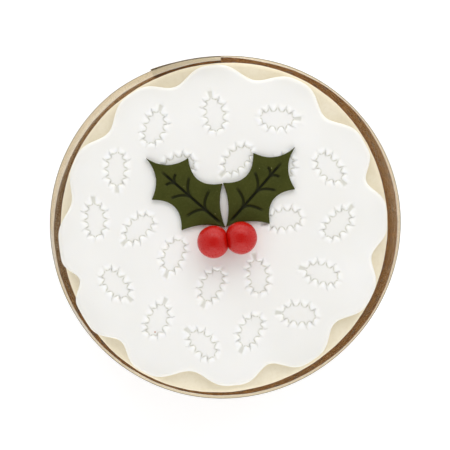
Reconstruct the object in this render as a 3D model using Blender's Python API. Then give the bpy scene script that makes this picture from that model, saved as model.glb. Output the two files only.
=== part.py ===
"""A Christmas cake, in metres with +Z up.

A round fruit cake stands on its flat base, under a layer of marzipan and a scalloped
sheet of white icing. Small holly outlines are pressed into the icing, and two holly
leaves and two berries lie on it. A strip of clear film stands around the cake as a
collar, with its ends lapped. The origin is the middle of the cake's base.
"""

import math

import bmesh
import bpy
from mathutils import Matrix, Vector, noise

MM = 0.001
GAP = 0.3 * MM

# Heights, from the base up.
FRUIT_TOP = 56.7 * MM
MARZIPAN_THICKNESS = 4.0 * MM
ICING_THICKNESS = 4.3 * MM
LEAF_THICKNESS = 1.9 * MM
COLLAR_HEIGHT = 72.5 * MM
MARZIPAN_BASE = FRUIT_TOP + GAP
MARZIPAN_TOP = MARZIPAN_BASE + MARZIPAN_THICKNESS
ICING_BASE = MARZIPAN_TOP + GAP
ICING_TOP = ICING_BASE + ICING_THICKNESS
TOPPING_BASE = ICING_TOP + GAP

# The cake's round outline. A wave is (count round the circle, height, angle of a crest).
CAKE_RADIUS = 80.4 * MM
CAKE_WAVES = ((1, 0.12 * MM, -24), (2, 0.85 * MM, 57), (3, 0.27 * MM, 21),
              (4, 0.43 * MM, -31))
CAKE_STEPS = 96

# The bare side of the fruit cake.
FRUIT_INSET = 0.4 * MM
FRUIT_FOOT_RADIUS = 3.0 * MM
FRUIT_ROWS = 9
CRAG_DEPTH = 2.2 * MM
CRAG_SIZES = (15.0 * MM, 6.5 * MM)

MARZIPAN_EDGE_RADIUS = 2.6 * MM
MARZIPAN_FOOT_RADIUS = 0.6 * MM

# The icing's scallops. Each notch is (angle, depth, half width, margin), where the margin
# is how far the lobe after the notch stops short of the cake's outline, or overhangs it
# where negative. Angles and half widths are in degrees, the rest in millimetres.
NOTCHES = (
    (17.8, 6.7, 11.2, 1.6), (47.3, 7.5, 14.7, 1.9), (78.3, 6.5, 15.4, 1.5),
    (109.3, 6.5, 14.1, 1.3), (140.7, 6.8, 14.6, 1.0), (171.0, 4.9, 13.7, -0.6),
    (200.0, 6.0, 9.0, -0.2), (228.0, 6.2, 11.5, 1.6), (257.3, 7.2, 15.8, 3.7),
    (288.5, 7.1, 13.1, 2.1), (319.0, 7.1, 13.9, 0.9), (348.9, 6.0, 12.3, 1.0),
)
NOTCH_FULLNESS = 1.4
ICING_STEPS = 144
ICING_RIM_RADIUS = 2.4 * MM
ICING_FOOT_RADIUS = 0.9 * MM

# The holly outline that is pressed into the icing, its tip towards +X. Its twelve points
# lie round a bent oval: ten narrow spines, a tip and a stem, with hollow arcs between.
STAMP_DEPTH = 0.5 * MM
STAMP_POINTS = 12
STAMP_MIDDLE = 0.5 * MM
STAMP_SPINES = (8.5 * MM, 6.9 * MM)
STAMP_VALLEYS = (7.6 * MM, 3.65 * MM)
STAMP_FULLNESS = 0.85
STAMP_HOLLOW = 3.2
STAMP_ARC_PARTS = (0, 0.25, 0.75)
STAMP_TIP = 11.6 * MM
STAMP_BEND = 1.05 * MM
STAMP_BEND_REACH = 10.7 * MM
# The stem's root and end: (along, across, width).
STAMP_STEM = ((-7.7 * MM, 0.5 * MM, 0.9 * MM), (-10.7 * MM, 0.3 * MM, 1.6 * MM))

# Where the outline is pressed: (x, y, direction of the tip), in millimetres and degrees.
STAMPS = (
    (-34.1, 48.5, -110), (-50.9, 27.4, 89), (-62.8, 3.7, -87), (-40.7, -1.5, 42),
    (-5.4, 54.5, -81), (26.3, 53.0, 177), (6.8, 31.6, 42), (51.8, 28.7, 131),
    (54.6, 2.4, -132), (28.9, 2.8, 8), (-23.5, -14.4, 66), (-5.2, -29.0, 63),
    (-51.2, -27.3, 131), (-32.5, -44.2, -114), (-11.0, -56.8, -45), (15.5, -23.5, -83),
    (46.7, -23.2, -18), (35.7, -42.9, -7), (13.3, -51.0, 62), (-22.4, 28.3, 17),
    (28.8, 26.1, 67),
)

# A holly leaf, its base at the origin and its tip towards +X: two spines a side, with
# hollow arcs between them, (along, across) from the base.
LEAF_LENGTH = 50.9 * MM
LEAF_SPINES = ((14.9 * MM, 15.0 * MM), (35.4 * MM, 13.4 * MM))
LEAF_ARC_DEPTHS = (1.85 * MM, 5.55 * MM, 3.45 * MM)
LEAF_ARC_STEPS = 7
LEAF_BLUNT = 0.015
LEAF_EDGE = 0.5 * MM
LEAF_FOOT = 0.25 * MM
VEIN_WIDTH = 1.1 * MM
MIDRIB_DEPTH = 0.8 * MM
SIDE_VEIN_DEPTH = 0.6 * MM
MIDRIB = (1.5 * MM, 42.5 * MM)
# Side veins, on both sides: the (along, across) points that steer each curve.
SIDE_VEINS = (
    ((11.6 * MM, 0.2 * MM), (16.0 * MM, 0.4 * MM), (17.5 * MM, 8.8 * MM)),
    ((22.4 * MM, 0.2 * MM), (26.4 * MM, 1.0 * MM), (29.0 * MM, 7.2 * MM)),
    ((32.4 * MM, 0.2 * MM), (34.9 * MM, 1.6 * MM), (34.7 * MM, 3.8 * MM)),
)
VEIN_STEPS = 4

# Each leaf is (name, base x, base y, direction of the tip).
LEAVES = (
    ("holly_leaf_left", 0.80 * MM, -0.20 * MM, 138.9),
    ("holly_leaf_right", 1.15 * MM, 0.10 * MM, 49.1),
)

# Each berry is (name, centre x, centre y, half sizes). The two are pressed together.
BERRIES = (
    ("berry_left", -4.9 * MM, -7.1 * MM, (7.7 * MM, 7.8 * MM, 7.3 * MM)),
    ("berry_right", 8.25 * MM, -5.2 * MM, (7.7 * MM, 7.8 * MM, 7.4 * MM)),
)
BERRY_FLAT = 0.35 * MM
BERRY_SEGMENTS = 24
BERRY_RINGS = 14

# The collar stands upright round the cake's outline, with a gap that varies, and leans
# straight to the path of its top edge. The strip starts inside and ends outside, where
# its ends lap. Its top edge is drawn in there, and the outer end flares a little.
FILM_THICKNESS = 0.4 * MM
COLLAR_GAP = 1.3 * MM
COLLAR_GAP_WAVES = ((1, 0.53 * MM, -3), (2, 0.5 * MM, 6))
COLLAR_TOP_RADIUS = 82.6 * MM
COLLAR_TOP_WAVES = ((1, 0.83 * MM, 52), (2, 0.82 * MM, 10), (3, 0.46 * MM, 19))
COLLAR_START = 91
COLLAR_LAP = 24
COLLAR_LAP_EASE = 18
# How far the ends are set (in, out) to pass each other, low down and at the top edge.
COLLAR_LOW_SHIFTS = (0.05 * MM, 0.75 * MM)
COLLAR_TOP_SHIFTS = (0.45 * MM, 0.25 * MM)
# The dip of the top edge at the lap: (angle, half width, depth).
COLLAR_DIP = (95, 38, 0.9 * MM)
COLLAR_FLARE = 0.45 * MM
COLLAR_FLARE_SPAN = 10
COLLAR_STEPS = 144
COLLAR_LEVELS = (0.0, 48.0 * MM, COLLAR_HEIGHT)

# Materials: (sRGB colour, roughness).
LOOKS = {
    "fruit_cake": ((112, 74, 44), 0.8),
    "marzipan": ((232, 214, 176), 0.6),
    "icing": ((242, 241, 236), 0.5),
    "holly_green": ((72, 76, 34), 0.55),
    "berry_red": ((186, 30, 24), 0.4),
    "clear_film": ((240, 240, 236), 0.05),
}
FILM_OPACITY = 0.3


# ---- shared helpers -------------------------------------------------------------------

def linear(channel):
    """One sRGB channel, 0 to 255, as a linear value."""
    value = channel / 255
    return value / 12.92 if value <= 0.04045 else ((value + 0.055) / 1.055) ** 2.4


def make_material(name):
    colour, roughness = LOOKS[name]
    material = bpy.data.materials.new(name)
    material.use_nodes = True
    shader = material.node_tree.nodes["Principled BSDF"]
    shader.inputs["Base Color"].default_value = [linear(c) for c in colour] + [1]
    shader.inputs["Roughness"].default_value = roughness
    shader.inputs["Metallic"].default_value = 0
    return material


def make_object(name, verts, faces, material=None, smooth_below=40):
    """A mesh object from points and faces, with its normals pointing out."""
    mesh = bpy.data.meshes.new(name)
    mesh.from_pydata(verts, [], faces)
    body = bmesh.new()
    body.from_mesh(mesh)
    bmesh.ops.recalc_face_normals(body, faces=body.faces)
    body.to_mesh(mesh)
    body.free()
    if material:
        mesh.materials.append(material)
        mesh.shade_smooth()
        mesh.set_sharp_from_angle(angle=math.radians(smooth_below))
    obj = bpy.data.objects.new(name, mesh)
    bpy.context.scene.collection.objects.link(obj)
    return obj


def skin_rings(rings):
    """Points and faces of a closed body over rings of equal length, capped flat."""
    count = len(rings[0])
    verts = [point for ring in rings for point in ring]
    faces = []
    for row in range(len(rings) - 1):
        for i in range(count):
            j = (i + 1) % count
            low, high = row * count, (row + 1) * count
            faces.append((low + i, low + j, high + j, high + i))
    last = (len(rings) - 1) * count
    faces.append(tuple(reversed(range(count))))
    faces.append(tuple(range(last, last + count)))
    return verts, faces


def cut_away(obj, cutter):
    """Cut one object by another, which stays as a hidden wire guide."""
    cutter.hide_render = True
    cutter.display_type = "WIRE"
    modifier = obj.modifiers.new("cut", "BOOLEAN")
    modifier.operation = "DIFFERENCE"
    modifier.solver = "EXACT"
    modifier.use_self = True
    modifier.object = cutter


def ease(value):
    """Smooth step from 0 to 1."""
    value = min(max(value, 0), 1)
    return value * value * (3 - 2 * value)


def bowl(degrees, middle, half_width):
    """A round dip on a circle: 1 in its middle, falling to 0 at its sides."""
    away = abs((degrees - middle + 180) % 360 - 180) / half_width
    return 0.5 + 0.5 * math.cos(math.pi * min(away, 1))


def waves_at(angle, waves):
    """Sum of waves round a circle, at an angle in radians."""
    return sum(height * math.cos(count * (angle - math.radians(crest)))
               for count, height, crest in waves)


def round_edge(radius, z, steps, rising=True):
    """A quarter-round edge as (inset, height) pairs, up to or away from the side."""
    pairs = []
    for i in range(steps + 1):
        turn = math.pi / 2 * i / steps
        if rising:
            pairs.append((radius * (1 - math.cos(turn)), z + radius * math.sin(turn)))
        else:
            pairs.append((radius * (1 - math.sin(turn)), z - radius * math.cos(turn)))
    return pairs


def radial_ring(radius_at, steps, inset, z):
    """A closed ring whose radius depends on the angle."""
    ring = []
    for i in range(steps):
        angle = 2 * math.pi * i / steps
        radius = radius_at(angle) - inset
        ring.append((radius * math.cos(angle), radius * math.sin(angle), z))
    return ring


# ---- cake, marzipan and icing ---------------------------------------------------------

def cake_radius(angle):
    return CAKE_RADIUS + waves_at(angle, CAKE_WAVES)


def crag_depth(angle, z):
    """How far the crumbly side falls back from the cake's round outline."""
    place = Vector((CAKE_RADIUS * math.cos(angle), CAKE_RADIUS * math.sin(angle), z))
    coarse, fine = (abs(noise.noise(place / size)) for size in CRAG_SIZES)
    return CRAG_DEPTH * (0.6 * coarse + 0.4 * fine)


def make_fruit_cake():
    foot = round_edge(FRUIT_FOOT_RADIUS, FRUIT_FOOT_RADIUS, 3, rising=False)
    rings = [radial_ring(cake_radius, CAKE_STEPS, FRUIT_INSET + inset, z)
             for inset, z in foot[:-1]]
    for row in range(FRUIT_ROWS):
        z = FRUIT_FOOT_RADIUS + (FRUIT_TOP - FRUIT_FOOT_RADIUS) * row / (FRUIT_ROWS - 1)
        rings.append(radial_ring(
            lambda angle: cake_radius(angle) - crag_depth(angle, z),
            CAKE_STEPS, FRUIT_INSET, z))
    return make_object("fruit_cake", *skin_rings(rings), make_material("fruit_cake"))


def make_marzipan():
    foot = round_edge(MARZIPAN_FOOT_RADIUS, MARZIPAN_BASE + MARZIPAN_FOOT_RADIUS, 1, False)
    edge = round_edge(MARZIPAN_EDGE_RADIUS, MARZIPAN_TOP - MARZIPAN_EDGE_RADIUS, 4)
    rings = [radial_ring(cake_radius, CAKE_STEPS, inset, z) for inset, z in foot + edge]
    return make_object("marzipan_layer", *skin_rings(rings), make_material("marzipan"))


def lobe_margin(degrees):
    """How far the icing stops short of the cake's outline, eased from lobe to lobe."""
    lobes = []
    for notch, after in zip(NOTCHES, NOTCHES[1:] + NOTCHES[:1]):
        lobes.append((notch[0] + (after[0] - notch[0]) % 360 / 2, notch[3]))
    for (start, first), (end, second) in zip(lobes, lobes[1:] + lobes[:1]):
        along, span = (degrees - start) % 360, (end - start) % 360
        if along < span:
            return (first + (second - first) * ease(along / span)) * MM


def icing_radius(angle):
    """The scalloped edge: the lobes' outline, drawn in at each notch."""
    degrees = math.degrees(angle)
    radius = cake_radius(angle) - lobe_margin(degrees)
    for notch, depth, half_width, _ in NOTCHES:
        radius -= depth * MM * bowl(degrees, notch, half_width) ** NOTCH_FULLNESS
    return radius


def stem_corners():
    (root, root_side, root_width), (end, end_side, end_width) = STAMP_STEM
    return [(root, root_side + root_width / 2), (end, end_side + end_width / 2),
            (end, end_side - end_width / 2), (root, root_side - root_width / 2)]


def stamp_outline():
    """The pressed holly outline, anticlockwise from its tip."""
    outline = []
    for point in range(STAMP_POINTS):
        for part in STAMP_ARC_PARTS:
            if point == STAMP_POINTS // 2 and part == 0:
                outline += stem_corners()
                continue
            turn = 2 * math.pi * (point + part) / STAMP_POINTS
            share = abs(2 * part - 1) ** STAMP_HOLLOW
            along, across = (valley + (spine - valley) * share
                             for spine, valley in zip(STAMP_SPINES, STAMP_VALLEYS))
            x = STAMP_MIDDLE + along * math.cos(turn)
            if point == 0 and part == 0:
                x = STAMP_TIP
            side = math.copysign(abs(math.sin(turn)) ** STAMP_FULLNESS, math.sin(turn))
            bend = STAMP_BEND * (1 - ((x - STAMP_MIDDLE) / STAMP_BEND_REACH) ** 2)
            outline.append((x, across * side + bend))
    return outline


def make_stamps():
    """One prism for each pressed outline, as deep as the impression."""
    outline = stamp_outline()
    verts, faces = [], []
    for x, y, direction in STAMPS:
        turn = Matrix.Rotation(math.radians(direction), 2)
        flat = [turn @ Vector(point) + Vector((x * MM, y * MM)) for point in outline]
        rings = [[(p.x, p.y, z) for p in flat]
                 for z in (ICING_TOP - STAMP_DEPTH, ICING_TOP + STAMP_DEPTH)]
        more_verts, more_faces = skin_rings(rings)
        start = len(verts)
        verts += more_verts
        faces += [tuple(start + i for i in face) for face in more_faces]
    return make_object("stamp_cutter", verts, faces)


def make_icing():
    foot = round_edge(ICING_FOOT_RADIUS, ICING_BASE + ICING_FOOT_RADIUS, 1, rising=False)
    rim = round_edge(ICING_RIM_RADIUS, ICING_TOP - ICING_RIM_RADIUS, 3)
    rings = [radial_ring(icing_radius, ICING_STEPS, inset, z) for inset, z in foot + rim]
    icing = make_object("icing_top", *skin_rings(rings), make_material("icing"))
    cut_away(icing, make_stamps())
    return icing


# ---- holly leaves ---------------------------------------------------------------------

def leaf_outline():
    """The leaf's edge, anticlockwise from its base, as (point, room to round the edge).

    Hollow arcs run from corner to corner. They stop just short of each, which leaves it
    blunt, and the edge is rounded less where the leaf runs out to a point.
    """
    spines = [Vector(spine) for spine in LEAF_SPINES]
    tip = Vector((LEAF_LENGTH, 0))
    left = [tip, *reversed(spines), Vector((0, 0))]
    right = [Vector((p.x, -p.y)) for p in reversed(left)]
    arcs = list(zip(right, right[1:], LEAF_ARC_DEPTHS))
    arcs += zip(left, left[1:], reversed(LEAF_ARC_DEPTHS))
    outline = []
    for start, end, depth in arcs:
        chord = end - start
        inward = Vector((-chord.y, chord.x)).normalized()
        for i in range(LEAF_ARC_STEPS):
            t = LEAF_BLUNT + (1 - 2 * LEAF_BLUNT) * i / (LEAF_ARC_STEPS - 1)
            bow = 4 * t * (1 - t)
            outline.append((start + chord * t + inward * depth * bow, min(1, 1.5 * bow)))
    return outline


def draw_in(outline, distance):
    """The outline's points moved inwards, by up to a distance."""
    moved = []
    for i, (point, room) in enumerate(outline):
        along = outline[(i + 1) % len(outline)][0] - outline[i - 1][0]
        inward = Vector((-along.y, along.x)).normalized()
        moved.append(point + inward * distance * room)
    return moved


def vein_paths():
    """The midrib and its side veins, as (depth, points in the leaf's plane)."""
    start, end = MIDRIB
    paths = [(MIDRIB_DEPTH, [Vector((start, 0)), Vector((end, 0))])]
    for side in (-1, 1):
        for steering in SIDE_VEINS:
            corners = [Vector((along, side * across)) for along, across in steering]
            path = []
            for i in range(VEIN_STEPS + 1):
                t = i / VEIN_STEPS
                path.append((1 - t) ** 2 * corners[0] + 2 * t * (1 - t) * corners[1]
                            + t ** 2 * corners[2])
            paths.append((SIDE_VEIN_DEPTH, path))
    return paths


def make_vein_cutter(name, place):
    """V-shaped bars along the veins, which cut the leaf's upper face."""
    verts, faces = [], []
    for depth, path in vein_paths():
        rows = []
        for i, point in enumerate(path):
            ahead = (path[min(i + 1, len(path) - 1)] - path[max(i - 1, 0)]).normalized()
            side = Vector((-ahead.y, ahead.x)) * VEIN_WIDTH
            rows.append([(*(point - side), depth), (*(point + side), depth),
                         (*point, -depth)])
        more_verts, more_faces = skin_rings(rows)
        start = len(verts)
        verts += [place @ Vector(v) for v in more_verts]
        faces += [tuple(start + i for i in face) for face in more_faces]
    return make_object(name, verts, faces)


def make_leaf(name, x, y, direction, material):
    outline = leaf_outline()
    levels = ((LEAF_FOOT, 0), (0, LEAF_FOOT), (0, LEAF_THICKNESS - LEAF_EDGE),
              (LEAF_EDGE, LEAF_THICKNESS))
    rings = [[(p.x, p.y, z) for p in draw_in(outline, inset)] for inset, z in levels]
    leaf = make_object(name, *skin_rings(rings), material)
    place = (Matrix.Translation((x, y, TOPPING_BASE))
             @ Matrix.Rotation(math.radians(direction), 4, "Z"))
    leaf.matrix_world = place
    top = place @ Matrix.Translation((0, 0, LEAF_THICKNESS))
    cut_away(leaf, make_vein_cutter(name + "_vein_cutter", top))
    return leaf


# ---- berries --------------------------------------------------------------------------

def slice_off(body, point, outward):
    """Cut away what lies beyond a plane and close the cut."""
    geometry = body.verts[:] + body.edges[:] + body.faces[:]
    bmesh.ops.bisect_plane(body, geom=geometry, plane_co=point, plane_no=outward,
                           clear_outer=True)
    rim = [edge for edge in body.edges if edge.is_boundary]
    bmesh.ops.contextual_create(body, geom=rim)


def make_berry(name, centre, half_sizes, contact, towards, material):
    """A ball flattened where it rests and where it meets the other berry."""
    body = bmesh.new()
    bmesh.ops.create_uvsphere(body, u_segments=BERRY_SEGMENTS, v_segments=BERRY_RINGS,
                              radius=1)
    bmesh.ops.scale(body, vec=half_sizes, verts=body.verts)
    slice_off(body, Vector((0, 0, BERRY_FLAT - half_sizes[2])), Vector((0, 0, -1)))
    slice_off(body, contact - centre, towards)
    bmesh.ops.recalc_face_normals(body, faces=body.faces)
    mesh = bpy.data.meshes.new(name)
    body.to_mesh(mesh)
    body.free()
    mesh.materials.append(material)
    mesh.shade_smooth()
    mesh.set_sharp_from_angle(angle=math.radians(30))
    berry = bpy.data.objects.new(name, mesh)
    berry.location = centre
    bpy.context.scene.collection.objects.link(berry)
    return berry


def make_berries():
    material = make_material("berry_red")
    (left, lx, ly, left_half), (right, rx, ry, right_half) = BERRIES
    left_centre = Vector((lx, ly, TOPPING_BASE + left_half[2] - BERRY_FLAT))
    right_centre = Vector((rx, ry, TOPPING_BASE + right_half[2] - BERRY_FLAT))
    towards = Vector((rx - lx, ry - ly, 0))
    share = left_half[0] / (left_half[0] + right_half[0])
    contact = left_centre + towards * share
    towards.normalize()
    half_gap = towards * GAP / 2
    make_berry(left, left_centre, left_half, contact - half_gap, towards, material)
    make_berry(right, right_centre, right_half, contact + half_gap, -towards, material)


# ---- collar ---------------------------------------------------------------------------

def collar_radius(travel, z):
    """Radius of the film's middle, after some degrees of travel from its inner end."""
    degrees = COLLAR_START + travel
    angle = math.radians(degrees)
    low = cake_radius(angle) + COLLAR_GAP + waves_at(angle, COLLAR_GAP_WAVES)
    top = COLLAR_TOP_RADIUS + waves_at(angle, COLLAR_TOP_WAVES)
    place, half_width, depth = COLLAR_DIP
    top -= depth * bowl(degrees, place, half_width)
    inner_end = ease((COLLAR_LAP + COLLAR_LAP_EASE - travel) / COLLAR_LAP_EASE)
    outer_end = ease((travel + COLLAR_LAP_EASE - 360) / COLLAR_LAP_EASE)
    low += COLLAR_LOW_SHIFTS[1] * outer_end - COLLAR_LOW_SHIFTS[0] * inner_end
    top += COLLAR_TOP_SHIFTS[1] * outer_end - COLLAR_TOP_SHIFTS[0] * inner_end
    top += COLLAR_FLARE * ease((travel - 360 - COLLAR_LAP) / COLLAR_FLARE_SPAN + 1)
    lean_from = COLLAR_LEVELS[-2]
    return low + (top - low) * max(0, (z - lean_from) / (COLLAR_HEIGHT - lean_from))


def make_collar():
    """A thin strip of film round the cake, closed at its ends."""
    rows = []
    for step in range(COLLAR_STEPS + 1):
        travel = (360 + COLLAR_LAP) * step / COLLAR_STEPS
        angle = math.radians(COLLAR_START + travel)
        outward = Vector((math.cos(angle), math.sin(angle), 0))
        row = []
        for side, levels in ((-0.5, COLLAR_LEVELS), (0.5, reversed(COLLAR_LEVELS))):
            for z in levels:
                radius = collar_radius(travel, z) + side * FILM_THICKNESS
                row.append(outward * radius + Vector((0, 0, z)))
        rows.append(row)
    film = make_material("clear_film")
    shader = film.node_tree.nodes["Principled BSDF"]
    shader.inputs["Alpha"].default_value = FILM_OPACITY
    return make_object("collar", *skin_rings(rows), film)


# ---- the whole cake -------------------------------------------------------------------

def main():
    for obj in list(bpy.data.objects):
        bpy.data.objects.remove(obj)
    make_fruit_cake()
    make_marzipan()
    make_icing()
    green = make_material("holly_green")
    for name, x, y, direction in LEAVES:
        make_leaf(name, x, y, direction, green)
    make_berries()
    make_collar()


main()
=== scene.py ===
import math

import bmesh
import bpy
import numpy as np
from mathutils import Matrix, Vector, geometry, noise


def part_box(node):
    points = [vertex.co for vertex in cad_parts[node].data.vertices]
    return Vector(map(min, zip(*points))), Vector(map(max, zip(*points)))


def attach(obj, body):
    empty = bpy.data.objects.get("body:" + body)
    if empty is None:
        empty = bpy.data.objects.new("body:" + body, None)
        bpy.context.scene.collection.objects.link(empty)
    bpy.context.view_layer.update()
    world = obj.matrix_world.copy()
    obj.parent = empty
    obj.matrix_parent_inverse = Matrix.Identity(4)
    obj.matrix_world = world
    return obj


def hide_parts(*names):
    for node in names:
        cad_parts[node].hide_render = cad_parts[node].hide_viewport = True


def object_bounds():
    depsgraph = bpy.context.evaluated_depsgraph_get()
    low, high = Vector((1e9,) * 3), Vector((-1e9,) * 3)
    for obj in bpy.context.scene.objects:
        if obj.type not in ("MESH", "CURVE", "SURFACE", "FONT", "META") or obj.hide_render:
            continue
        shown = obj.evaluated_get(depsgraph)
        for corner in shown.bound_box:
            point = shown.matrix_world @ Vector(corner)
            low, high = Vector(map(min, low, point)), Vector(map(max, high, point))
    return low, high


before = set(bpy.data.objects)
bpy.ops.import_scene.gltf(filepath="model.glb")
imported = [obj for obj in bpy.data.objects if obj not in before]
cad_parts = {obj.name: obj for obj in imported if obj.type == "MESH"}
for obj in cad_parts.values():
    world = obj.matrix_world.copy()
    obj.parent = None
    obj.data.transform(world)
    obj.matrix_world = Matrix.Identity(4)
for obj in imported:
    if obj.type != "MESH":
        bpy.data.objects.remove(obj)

MM = 0.001
CAD_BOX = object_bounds()


# ---- sizes that the solids share ------------------------------------------------------

# Lengths are in millimetres and angles in degrees. Each wave round the cake is
# (how many crests, height, angle of one crest).
CAKE_RADIUS = 80.4
CAKE_WAVES = ((1, 0.12, -24), (2, 0.85, 57), (3, 0.27, 21), (4, 0.43, -31))
# Each notch is (angle, depth, half width, margin of the lobe after it).
NOTCHES = (
    (17.8, 6.7, 11.2, 1.6), (47.3, 7.5, 14.7, 1.9), (78.3, 6.5, 15.4, 1.5),
    (109.3, 6.5, 14.1, 1.3), (140.7, 6.8, 14.6, 1.0), (171.0, 4.9, 13.7, -0.6),
    (200.0, 6.0, 9.0, -0.2), (228.0, 6.2, 11.5, 1.6), (257.3, 7.2, 15.8, 3.7),
    (288.5, 7.1, 13.1, 2.1), (319.0, 7.1, 13.9, 0.9), (348.9, 6.0, 12.3, 1.0),
)
NOTCH_FULLNESS = 1.4

# One pressed holly outline, its stem towards -X and its tip towards +X, and where each
# of them lies on the icing: (x, y, direction of its tip).
STAMP_POINTS = 12
STAMP_MIDDLE = 0.5
STAMP_SPINES = (8.5, 6.9)
STAMP_VALLEYS = (7.6, 3.65)
STAMP_FULLNESS = 0.85
STAMP_HOLLOW = 3.2
STAMP_TIP = 11.6
STAMP_BEND = 1.05
STAMP_BEND_REACH = 10.7
STAMP_STEM = ((-7.7, 0.5, 0.9), (-10.7, 0.3, 1.6))
STAMPS = (
    (-34.1, 48.5, -110), (-50.9, 27.4, 89), (-62.8, 3.7, -87), (-40.7, -1.5, 42),
    (-5.4, 54.5, -81), (26.3, 53.0, 177), (6.8, 31.6, 42), (51.8, 28.7, 131),
    (54.6, 2.4, -132), (28.9, 2.8, 8), (-23.5, -14.4, 66), (-5.2, -29.0, 63),
    (-51.2, -27.3, 131), (-32.5, -44.2, -114), (-11.0, -56.8, -45), (15.5, -23.5, -83),
    (46.7, -23.2, -18), (35.7, -42.9, -7), (13.3, -51.0, 62), (-22.4, 28.3, 17),
    (28.8, 26.1, 67),
)

# A leaf points along +X from its base. Its spines and the points that steer its veins
# are (along, across), and each leaf is (name, base x, base y, direction of its tip).
LEAF_LENGTH = 50.9
LEAF_SPINES = ((14.9, 15.0), (35.4, 13.4))
LEAF_ARC_DEPTHS = (1.85, 5.55, 3.45)
LEAVES = (
    ("holly_leaf_left", 0.80, -0.20, 138.9),
    ("holly_leaf_right", 1.15, 0.10, 49.1),
)
MIDRIB = (1.5, 42.5)
SIDE_VEINS = (
    ((11.6, 0.2), (16.0, 0.4), (17.5, 8.8)),
    ((22.4, 0.2), (26.4, 1.0), (29.0, 7.2)),
    ((32.4, 0.2), (34.9, 1.6), (34.7, 3.8)),
)

# Each berry is (name, x, y, half sizes).
BERRIES = (
    ("berry_left", -4.9, -7.1, (7.7, 7.8, 7.3)),
    ("berry_right", 8.25, -5.2, (7.7, 7.8, 7.4)),
)
BERRY_FLAT = 0.35

COLLAR_GAP = 1.3
COLLAR_GAP_WAVES = ((1, 0.53, -3), (2, 0.5, 6))
COLLAR_TOP_RADIUS = 82.6
COLLAR_TOP_WAVES = ((1, 0.83, 52), (2, 0.82, 10), (3, 0.46, 19))
COLLAR_LEAN_FROM = 48.0
COLLAR_START = 91
COLLAR_LAP = 24
COLLAR_LAP_EASE = 18
COLLAR_LOW_SHIFTS = (0.05, 0.75)
COLLAR_DIP = (95, 38, 0.9)
COLLAR_FLARE_SPAN = 10


def box_mm(node):
    low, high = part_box(node)
    return [c / MM for c in low], [c / MM for c in high]


FRUIT_TOP = box_mm("fruit_cake")[1][2]
MARZIPAN_BASE, MARZIPAN_TOP = (corner[2] for corner in box_mm("marzipan_layer"))
ICING_BASE, ICING_TOP = (corner[2] for corner in box_mm("icing_top"))
LEAF_TOP = box_mm("holly_leaf_left")[1][2]
BERRY_BASE = box_mm("berry_left")[0][2]
COLLAR_HEIGHT = box_mm("collar")[1][2]


# ---- meshes ---------------------------------------------------------------------------

def make_piece(name, verts, faces, material, replaced, sharp=None):
    """A piece from points in millimetres, riding on the cake in a CAD node's place."""
    mesh = bpy.data.meshes.new(name)
    points = np.asarray(verts, dtype=float) * MM
    mesh.from_pydata(points.tolist(), [], [tuple(int(i) for i in f) for f in faces])
    body = bmesh.new()
    body.from_mesh(mesh)
    bmesh.ops.recalc_face_normals(body, faces=body.faces)
    body.to_mesh(mesh)
    body.free()
    mesh.materials.append(material)
    mesh.shade_smooth()
    if sharp:
        mesh.set_sharp_from_angle(angle=math.radians(sharp))
    piece = bpy.data.objects.new(name, mesh)
    bpy.context.scene.collection.objects.link(piece)
    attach(piece, "root")
    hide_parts(replaced)
    return piece


def skin_rings(rings):
    """Quads over rings of equal length, with flat caps."""
    count = len(rings[0])
    verts = np.concatenate([np.asarray(ring, dtype=float) for ring in rings])
    faces = []
    for row in range(len(rings) - 1):
        low, high = row * count, (row + 1) * count
        for i in range(count):
            j = (i + 1) % count
            faces.append((low + i, low + j, high + j, high + i))
    last = (len(rings) - 1) * count
    faces.append(tuple(reversed(range(count))))
    faces.append(tuple(range(last, last + count)))
    return verts, faces


def add_attribute(piece, name, values):
    """A value for each of a piece's points, which its material reads by name."""
    piece.data.attributes.new(name, "FLOAT", "POINT").data.foreach_set("value", values)


def waves_at(angle, waves):
    """Sum of waves round a circle, at angles in radians."""
    return sum(height * np.cos(count * (angle - math.radians(crest)))
               for count, height, crest in waves)


def smooth(value, start, end):
    """Smooth step from 0 at start to 1 at end."""
    t = np.clip((np.asarray(value, dtype=float) - start) / (end - start), 0, 1)
    return t * t * (3 - 2 * t)


def bowl(degrees, middle, half_width):
    """A round dip on a circle: 1 in its middle, falling to 0 at its sides."""
    away = np.abs((degrees - middle + 180) % 360 - 180) / half_width
    return 0.5 + 0.5 * np.cos(np.pi * np.minimum(away, 1))


def noise_at(points, size, seed=0):
    """Noise of about -1 to 1 at points in millimetres, with features of that size."""
    shift = Vector((seed * 7.31, seed * 3.17, seed * 5.71))
    return np.array([noise.noise(Vector(p) / size + shift) for p in points])


def segment_distance(points, starts, ends):
    """Shortest distance from each point to a set of segments, and which is nearest."""
    best = np.full(len(points), np.inf)
    which = np.zeros(len(points), dtype=int)
    for index, (a, b) in enumerate(zip(starts, ends)):
        along = b - a
        length = max(float(along @ along), 1e-12)
        t = np.clip(((points - a) @ along) / length, 0, 1)
        away = np.linalg.norm(points - a - t[:, None] * along, axis=1)
        closer = away < best
        best[closer] = away[closer]
        which[closer] = index
    return best, which


def within(points, ring):
    """Which points lie inside a closed ring."""
    inside = np.zeros(len(points), dtype=bool)
    for (ax, ay), (bx, by) in zip(ring, np.roll(ring, -1, axis=0)):
        if ay == by:
            continue
        crosses = (ay > points[:, 1]) != (by > points[:, 1])
        at = ax + (points[:, 1] - ay) * (bx - ax) / (by - ay)
        inside ^= crosses & (points[:, 0] < at)
    return inside


def cake_radius(angle):
    return CAKE_RADIUS + waves_at(angle, CAKE_WAVES)


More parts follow.
